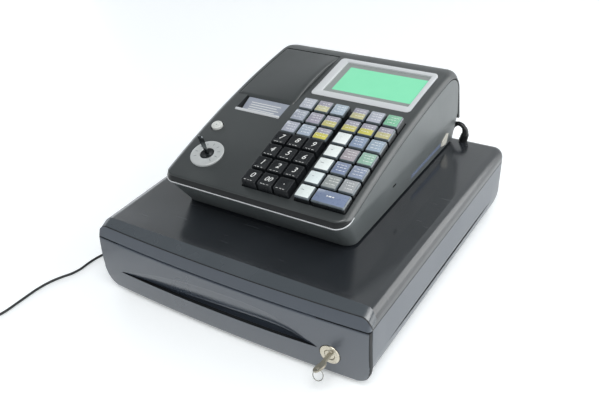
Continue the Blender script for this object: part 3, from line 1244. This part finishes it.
def function_key(name, row, column, tone):
    """A black body on its stem, the clear cap over it, and under its top the label and its marks."""
    extra = KEY_PITCH if name == WIDE else 0.0
    rings = cap_rings(extra, 0.0, 0.0)
    seam = level(centred(KEY_TOP / 2 + 0.3 + extra / 2, KEY_TOP / 2 + 0.3, 1), -SEAM_DROP)
    parts = [(lofted(rings[:4] + [seam]), CAP_BODY), (lofted([seam] + rings[4:]), CLEAR)]
    half, wide = LABEL_HALF, LABEL_HALF + extra / 2
    if name in SPLIT:
        parts += [label_part(-half, half, LABEL_SPLIT, half, 0.5, UPPER_HALF),
                  label_part(-half, half, -half, LABEL_SPLIT, 0.5, tone)]
    else:
        parts.append(label_part(-wide, wide, -half, half, 0.7, tone))
    if name != EMPTY:
        ink = INK_GREY if name in PLAIN else INK
        parts += [(slab(mark, 0, LABEL_TOP + 0.05), ink) for mark in key_marks(name, row * 6 + column)]
    return key_parts(parts, row, column, extra)


def digit_key(text, row, column):
    """A black cap with a dished top, its raised figure and three small marks below it."""
    size = 9.2 if len(text) == 1 else 8.2
    place = (0.0, 2.4 if text == "." else 0.9, DIGIT_RISE - 0.34)
    parts = [(lofted(cap_rings(0.0, DIGIT_RISE, DIGIT_SAG)), DIGIT_CAP), (printed(text, size, place), INK)]
    for k in range(3):
        start = -5.4 + 3.6 * k + (row + column + k) % 2 * 0.5
        mark = rounded(start, start + 2.2, -7.0, -6.2, 0.25, 2)
        parts.append((slab(mark, DIGIT_RISE - 0.5, DIGIT_RISE - 0.1), INK))
    return key_parts(parts, row, column)


for row, texts in enumerate(DIGITS, FIRST_DIGIT_ROW):
    for column, text in enumerate(texts):
        node = f"digit_{text}"
        parts = digit_key("." if text == "point" else text, row, column)
        piece(f"{node}_cap", node, parts, [node], sharp=40)
for row, (letter, tones) in enumerate(LABELS.items()):
    for column, tone in enumerate(tones):
        if tone:
            node = WIDE if (letter, column) == ("g", 4) else f"key_{letter}{column + 1}"
            parts = function_key(node, row, column, tone)
            piece(f"{node}_cap", node, parts, [node], sharp=40)


# Mode switch and feed button

ring = turned([(MODE_BORE, -1.2), (18.5, -1.2), (18.5, 0.9), (18.3, 1.4), (17.9, 1.7), (17.2, 1.8),
               (9.2, 1.8), (8.4, 1.5), (MODE_BORE, 1.2)], 72, closed=True)
tick = slab(rounded(-0.35, 0.35, 11.5, 14.6, 0.2, 2), 1.7, 1.86)
ring_parts = [(on_panel(ring, MODE_PLACE), RING_METAL)]
for k in range(TICKS):
    mark = moved(tick, angle=math.radians(FIRST_TICK + k * TICK_STEP), axis=ABOUT_Z)
    ring_parts.append((on_panel(mark, MODE_PLACE), INK_GREY))
piece("mode_ring", "base", ring_parts, ["upper_case"])

core_form = turned([(0.05, -14), (7.6, -14), (7.6, 0.9), (7.2, 1.35), (5.0, 1.5), (4.2, 1.1), (0.05, 1.0)])
right_edge = [(2.1, 0), (2.2, 8), (2.7, 12), (3.1, 18), (3.1, 23), (2.5, 25.4), (1.2, 26)]
blade_outline = np.array([(-2.1, 0)] + right_edge + [(-x, y) for x, y in right_edge[:0:-1]])
switch_blade = moved(pierced_plate(blade_outline, (0, 22.6), 0.8, 1.6), angle=RIGHT_ANGLE)
piece("mode_switch_key", "mode_key", [
    (on_panel(core_form, MODE_PLACE), CAP_BODY), (on_panel(switch_blade, MODE_PLACE), DARK_STEEL),
], ["mode_key"])

button = turned([(0.05, -7.4), (6.3, -7.4), (6.3, 1.2), (6.1, 1.9), (5.6, 2.35), (4.9, 2.5), (4.3, 2.46),
                 (4.1, 1.9), (3.5, 1.9), (3.3, 2.44), (0.05, 2.6)])
dot = slab(rounded(-0.7, 1.0, -0.9, 0.0, 0.4, 3), 2.5, 2.66)
piece("feed_cap", "feed_button", [
    (on_panel(button, FEED_PLACE), BUTTON), (on_panel(dot, FEED_PLACE), INK_GREY),
], ["feed_button"])


# Display

frame_edges = (-DISPLAY_HALF[0], DISPLAY_HALF[0], -DISPLAY_HALF[1], DISPLAY_HALF[1])
# Up the frame's outside and over its face, then down round the opening: how far out, corner radius and height
outer_rows = [(0, 5, -2.4), (0, 5, 0.2), (-0.25, 4.8, 0.7), (-1, 4.2, 1.0)]
inner_rows = [(0.8, 1.6, 0.9), (0.2, 1.2, 0.5), (0, 1.0, -0.6), (0, 1.0, -2.4)]
frame_rings = [level(rounded(*grown(edges, out), radius, 8), z)
               for edges, rows in ((frame_edges, outer_rows), (DISPLAY_OPENING, inner_rows))
               for out, radius, z in rows]
piece("display_frame", "base", [(on_display(lofted(frame_rings, closed=True)), LACQUER)],
      ["display_bezel"])
border = slab(rounded(*DISPLAY_OPENING, 1.0), -2.35, -0.9)
screen = slab(rounded(*SCREEN_EDGES, 0.8), -1.6, -0.82, 0.05, 1)
piece("display_window", "base", [(on_display(border), BORDER), (on_display(screen), SCREEN)],
      ["display_panel"])


# Printer

def printer_cover():
    """The cover over the paper: along it a hump 1 - (2t - 1)^2, and across it a swell s^1.4 that falls again
    at the right edge. It is one surface over the top, round the front and back under."""
    along = np.linspace(0, 1, 48)
    share = np.r_[0, 0.004, 0.012, np.linspace(0.03, 0.9, 26), 0.93, 0.955, 0.975, 0.988, 0.996, 1]
    x = (BAY_LEFT + (BAY_RIGHT - BAY_LEFT) * share)[:, None]
    y = COVER_FRONT + (BAY_REAR - HINGE_RADIUS - COVER_FRONT) * along
    right_drop = round_off(COVER_SIDE_DROP * (share - 0.955) / 0.045, COVER_SIDE_DROP)
    left_drop = 0.4 * np.clip(1 - share / 0.012, 0, 1) ** 2
    lip = round_off(COVER_LIP_DROP * (1 - (y - COVER_FRONT) / 1.6), COVER_LIP_DROP)
    swell = share ** 1.4 * (1 - 0.2 * np.clip((share - 0.9) / 0.1, 0, 1) ** 2)
    hump = COVER_HUMP * swell[:, None] * (1 - (2 * along - 1) ** 2)
    top = crown_at(y) + hump - lip - (right_drop + left_drop)[:, None]
    under = np.minimum(crown_at(y) + hump * 0.6 - COVER_THICKNESS, top - 0.6)
    upper, lower = (np.stack(np.broadcast_arrays(x, y, z), -1) for z in (top, under))
    return lofted(np.concatenate([upper, lower[:, ::-1]], 1))


barrel_y = BAY_REAR - HINGE_RADIUS
barrel_end = circle(HINGE_RADIUS, 24) + [barrel_y, crown_at(barrel_y) - HINGE_RADIUS]
barrel = lofted([station(barrel_end, x) for x in (BAY_LEFT + 0.4, BAY_RIGHT - 0.4)])
piece("paper_cover", "printer_cover", [(printer_cover(), SHELL), (barrel, SHELL)], ["printer_cover"])


def on_guide(left, right, near, far, lift, thick):
    """A thin block on the sloping guide plate, from one share of its length to another."""
    share = np.array([near, far])
    heights = crown_at(GUIDE_ENDS) - GUIDE_DEPTHS
    y = GUIDE_ENDS[0] + (GUIDE_ENDS[1] - GUIDE_ENDS[0]) * share
    z = heights[0] + (heights[1] - heights[0]) * share + lift
    outline = [(y[0], z[0]), (y[1], z[1]), (y[1], z[1] + thick), (y[0], z[0] + thick)]
    return lofted([station(outline, left), station(outline, right)])


guide_parts = [(on_guide(*GUIDE_SIDES, 0, 1, -0.2, GUIDE_THICKNESS), PLATE)]
# Five lines that stand for the print on the label, every other one shorter
for k in range(GUIDE_LINES):
    near = 0.2 + 0.13 * k
    guide_parts.append((on_guide(-80, -41 - 4 * (k % 2), near, near + 0.035, 0.8, 0.14), INK))
piece("paper_guide", "base", guide_parts)

bar_top = crown_at(WINDOW_FRONT)
bar_outline = np.array([(-3, -1.2), (0, -1.2), (0, 1.2), (-1, 1.15), (-2.2, 0.5)]) + [WINDOW_FRONT, bar_top]
bar = lofted([station(bar_outline, x) for x in (WINDOW_LEFT + 0.4, WINDOW_RIGHT - 0.4)])
knob = moved(turned([(0.05, -1), (1.9, -1), (1.9, 0.9), (1.5, 1.25), (0.05, 1.3)], 24),
             (WINDOW_RIGHT - 1.2, WINDOW_FRONT - 1.4, bar_top))
piece("tear_bar", "base", [(bar, LACQUER), (knob, LACQUER)], ["upper_case"], bevel=0.15)

# Materials of the nodes that stay
for name, surface in {"till_insert": INSERT, "printer_unit": INSIDE, "paper_roll": PAPER}.items():
    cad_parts[name].data.materials.clear()
    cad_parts[name].data.materials.append(surface)


# Stage

# In metres
TABLE_FRONT, TABLE_REAR, WALL_CURVE, WALL_TOP, STAGE_HALF = -6.0, 2.2, 0.8, 5.0, 7.0
BACKGROUND_GLOW = 0.28
ROOM_TONE, ROOM_STRENGTH = "#e4e9ec", 0.33


def table_and_wall():
    """A white table top that runs back and curves up into a wall: y, then a quarter circle, then z."""
    curve = arc(TABLE_REAR, WALL_CURVE, WALL_CURVE, 3, 23)
    # The curve's first point comes twice, so that the table's smooth shading stays flat up to there.
    ends = [(TABLE_FRONT, 0), (TABLE_REAR, 0)], [(TABLE_REAR + WALL_CURVE, WALL_TOP)]
    profile = np.concatenate([ends[0], curve, ends[1]])
    count = len(profile)
    k = np.arange(count - 1)
    mesh = bpy.data.meshes.new("table_and_wall")
    mesh.from_pydata(np.concatenate([station(profile, -STAGE_HALF), station(profile, STAGE_HALF)]), [],
                     np.column_stack([k, k + count, k + count + 1, k + 1]).tolist())
    smoothed(mesh)
    return shown("table_and_wall", mesh)


stage = table_and_wall()
# A laminate top, smooth and nearly white. It glows where the camera, a mirror or a clear part sees it.
WHITE = finish("white_laminate", "#f2f4f5", 0.32, "#f4f6f7", grain=1.5, bump=0.002, patch=400, spread=0.03,
               Emission_Color=colour("#f7fbfc"))
tree = WHITE.node_tree
paths = add(tree, "ShaderNodeLightPath").outputs
seen = paths["Is Camera Ray"]
for ray in ("Is Glossy Ray", "Is Transmission Ray"):
    seen = add(tree, "ShaderNodeMath", {0: seen, 1: paths[ray]}, operation="MAXIMUM").outputs[0]
glow = add(tree, "ShaderNodeMath", {0: seen, 1: BACKGROUND_GLOW}, operation="MULTIPLY")
tree.links.new(glow.outputs[0], tree.nodes["Principled BSDF"].inputs["Emission Strength"])
stage.data.materials.append(WHITE)

world = bpy.data.worlds.new("room")
bpy.context.scene.world = world
world.use_nodes = True
world.node_tree.nodes["Background"].inputs["Color"].default_value = colour(ROOM_TONE)
world.node_tree.nodes["Background"].inputs["Strength"].default_value = ROOM_STRENGTH


def lamp(name, place, target, size, power, tone="#ffffff"):
    """A rectangular lamp at a place in metres, aimed at a target; power is in watts."""
    data = bpy.data.lights.new(name, "AREA")
    data.shape, data.size, data.size_y, data.energy = "RECTANGLE", size[0], size[1], power
    data.color = colour(tone)[:3]
    made = shown(name, data)
    made.location = place
    made.rotation_mode = "QUATERNION"
    made.rotation_quaternion = (Vector(target) - Vector(place)).to_track_quat("-Z", "Y")


lamp("ceiling", place=(0.8, -1.0, 2.1), target=(0, 0, 0.1), size=(1.8, 1.8), power=40)
lamp("window", place=(-2.2, 0.8, 0.8), target=(0, 0, 0.1), size=(1.4, 1.0), power=9, tone="#f4f9ff")
lamp("right", place=(2.2, 0.9, 0.9), target=(0, 0, 0.08), size=(3.2, 2.0), power=40)

bpy.context.scene.view_settings.view_transform = "Standard"
